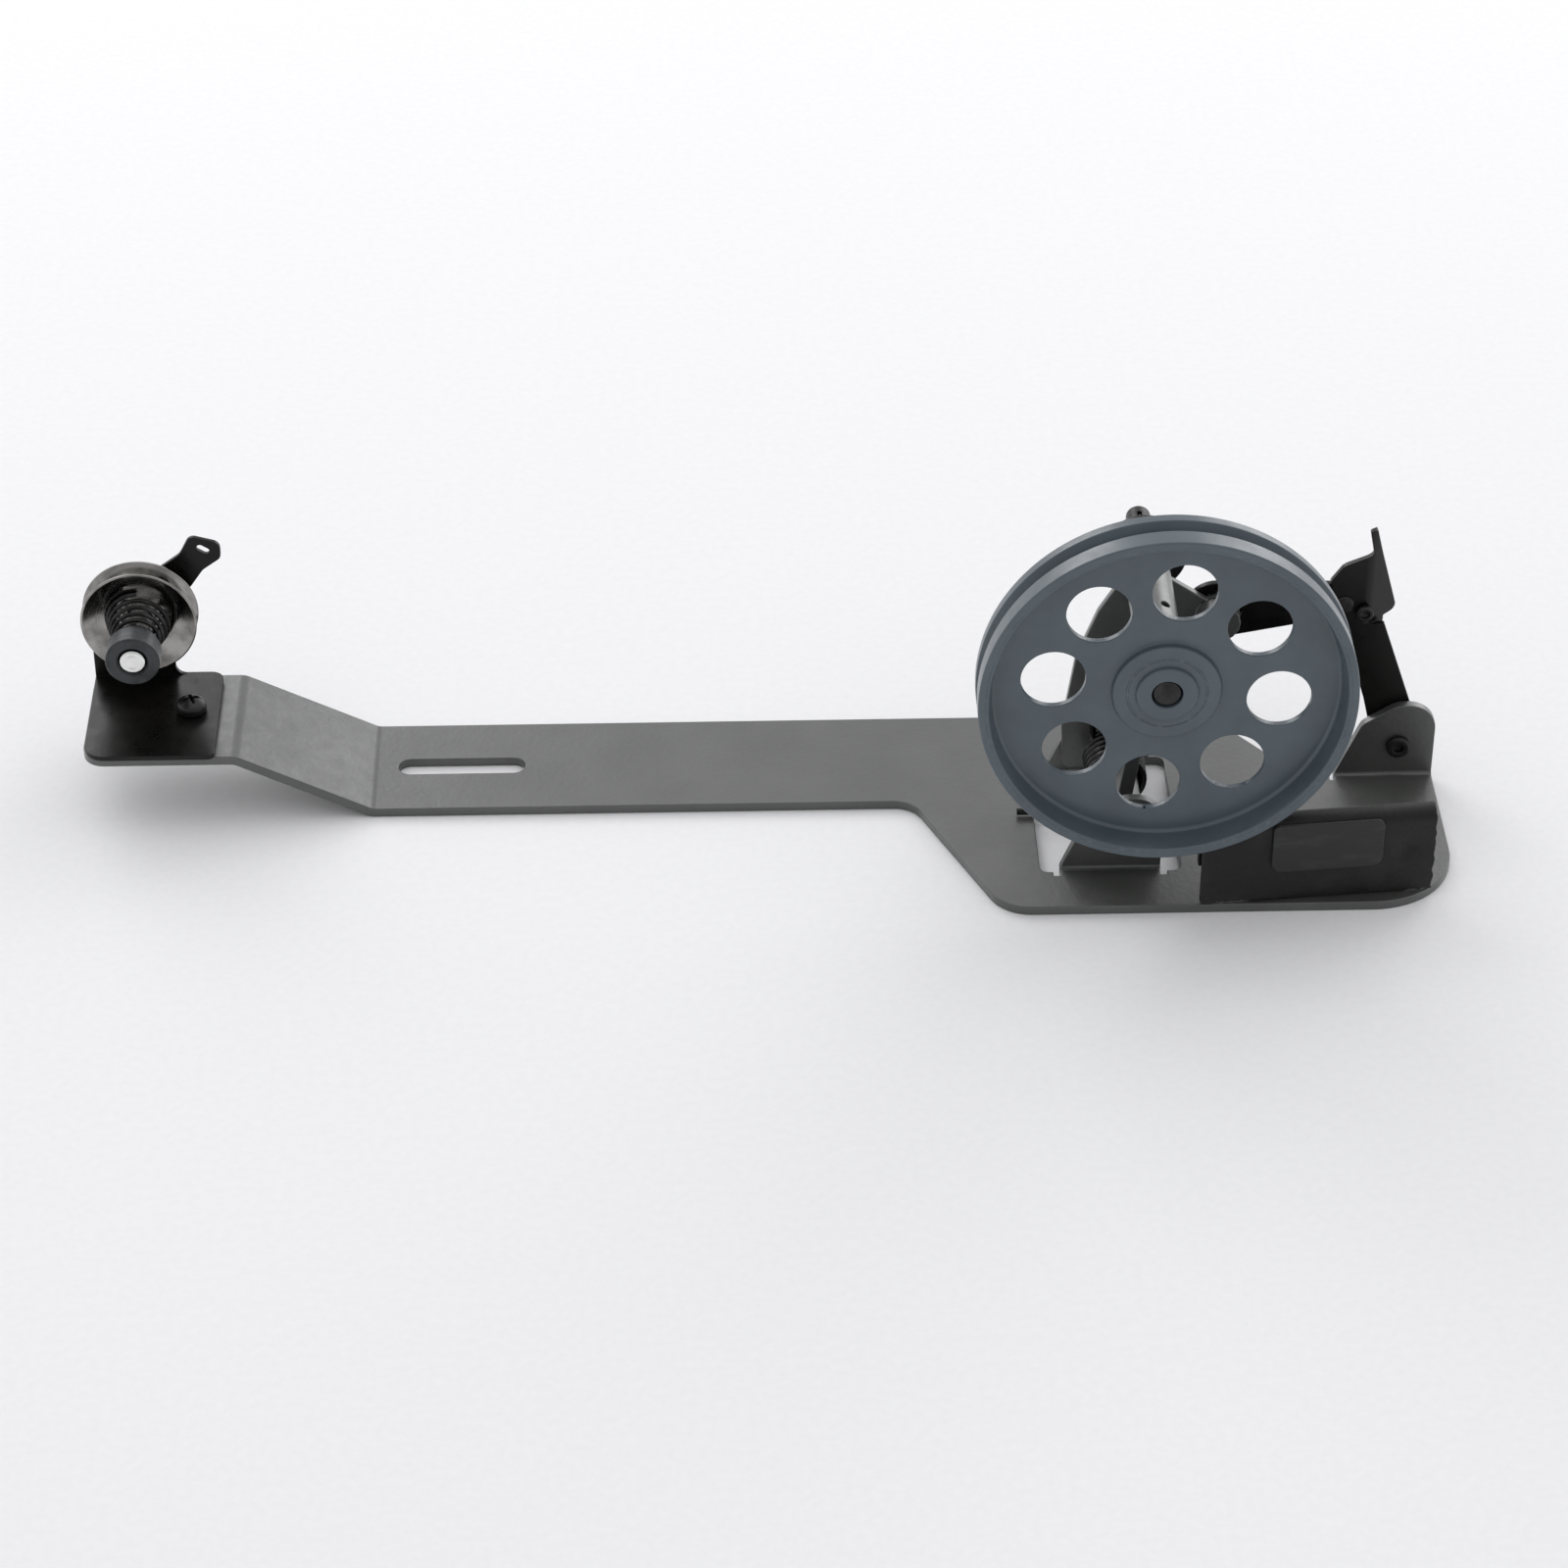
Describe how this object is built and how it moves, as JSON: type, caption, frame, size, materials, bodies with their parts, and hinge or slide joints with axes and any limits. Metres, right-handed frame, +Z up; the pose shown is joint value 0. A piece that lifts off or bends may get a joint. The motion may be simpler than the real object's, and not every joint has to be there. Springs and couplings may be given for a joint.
{
  "type": "bobbin winder",
  "caption": "Bobbin winder on a folded base plate with a long slotted arm: grooved belt wheel on a swinging frame, leather brake, trip lever and thread tension unit.",
  "frame": {"origin": "on the base plate's underside, straight below the wheel's axis at the middle of the wheel's width", "axes": "+X away from the arm, +Y to the rear along the spindle, +Z up"},
  "size_m": [0.3161, 0.0787, 0.1009],
  "materials": {
    "grey_paint": "semi-gloss grey paint with a fine mottle",
    "wheel_paint": "semi-gloss blue-grey paint, worn at the rim's edges",
    "black_paint": "semi-gloss black paint",
    "polished_steel": "polished",
    "dark_steel": "dark oiled steel",
    "spring_steel": "blackened wire",
    "bronze": "sintered bronze",
    "leather": "black leather with a soft sheen",
    "brake_pad": "smooth dark rubber, slightly worn"
  },
  "bodies": {
    "base": {"base_plate": "grey_paint", "brake_leather": "leather", "brake_pad": "brake_pad", "frame_hinge_pin": "dark_steel", "hinge_pin_clip": "spring_steel", "lever_pin": "dark_steel", "lever_pin_clip": "spring_steel", "return_spring": "spring_steel", "tension_bracket": "black_paint", "bracket_screw": "dark_steel", "bracket_nut": "dark_steel", "tension_stud": "polished_steel", "thread_guide": "black_paint", "rear_tension_disc": "polished_steel", "tension_spring": "spring_steel"},
    "frame": {"swing_frame": "grey_paint", "front_bushing": "bronze", "rear_bushing": "bronze", "thrust_washer": "polished_steel", "link_pin": "dark_steel"},
    "wheel": {"wheel": "wheel_paint", "wheel_set_screw": "dark_steel", "spindle": "dark_steel", "bobbin_seat": "dark_steel", "bobbin_spring": "spring_steel"},
    "link": {"link_plate": "black_paint"},
    "lever": {"trip_lever": "black_paint", "lever_rivet": "dark_steel", "trip_screw": "dark_steel"},
    "front_disc": {"front_tension_disc": "polished_steel"},
    "nut": {"tension_nut": "dark_steel"}
  },
  "joints": [
    {"name": "frame_swing", "type": "hinge", "parent": "base", "child": "frame", "pos_m": [-0.0063, 0.03, 0.0106], "axis": [0, -1, 0], "range_deg": [0, 7], "stiffness_Nm_per_rad": 0.06, "springref_deg": -17.19, "deforming": ["return_spring"]},
    {"name": "wheel_spin", "type": "hinge", "parent": "frame", "child": "wheel", "pos_m": [0, 0, 0.0589], "axis": [0, 1, 0], "continuous": true},
    {"name": "link_turn", "type": "hinge", "parent": "frame", "child": "link", "pos_m": [0.0168, 0.0513, 0.0461], "axis": [0, -1, 0], "range_deg": [-17, 0]},
    {"name": "lever_press", "type": "hinge", "parent": "base", "child": "lever", "pos_m": [0.0611, 0.0494, 0.0106], "axis": [0, -1, 0], "range_deg": [0, 7.5]},
    {"name": "disc_slide", "type": "slide", "parent": "base", "child": "front_disc", "axis": [0, -1, 0], "range_m": [0, 0.001], "stiffness_N_per_m": 40, "springref_m": -0.002, "deforming": ["tension_spring"]},
    {"name": "nut_turn", "type": "hinge", "parent": "base", "child": "nut", "pos_m": [-0.233, 0.049, 0.0402], "axis": [0, 1, 0], "continuous": true}
  ],
  "couplings": [
    {"joint": "lever_press", "follows": "frame_swing", "ratio": 0.963},
    {"joint": "link_turn", "follows": "frame_swing", "ratio": -2.266}
  ]
}
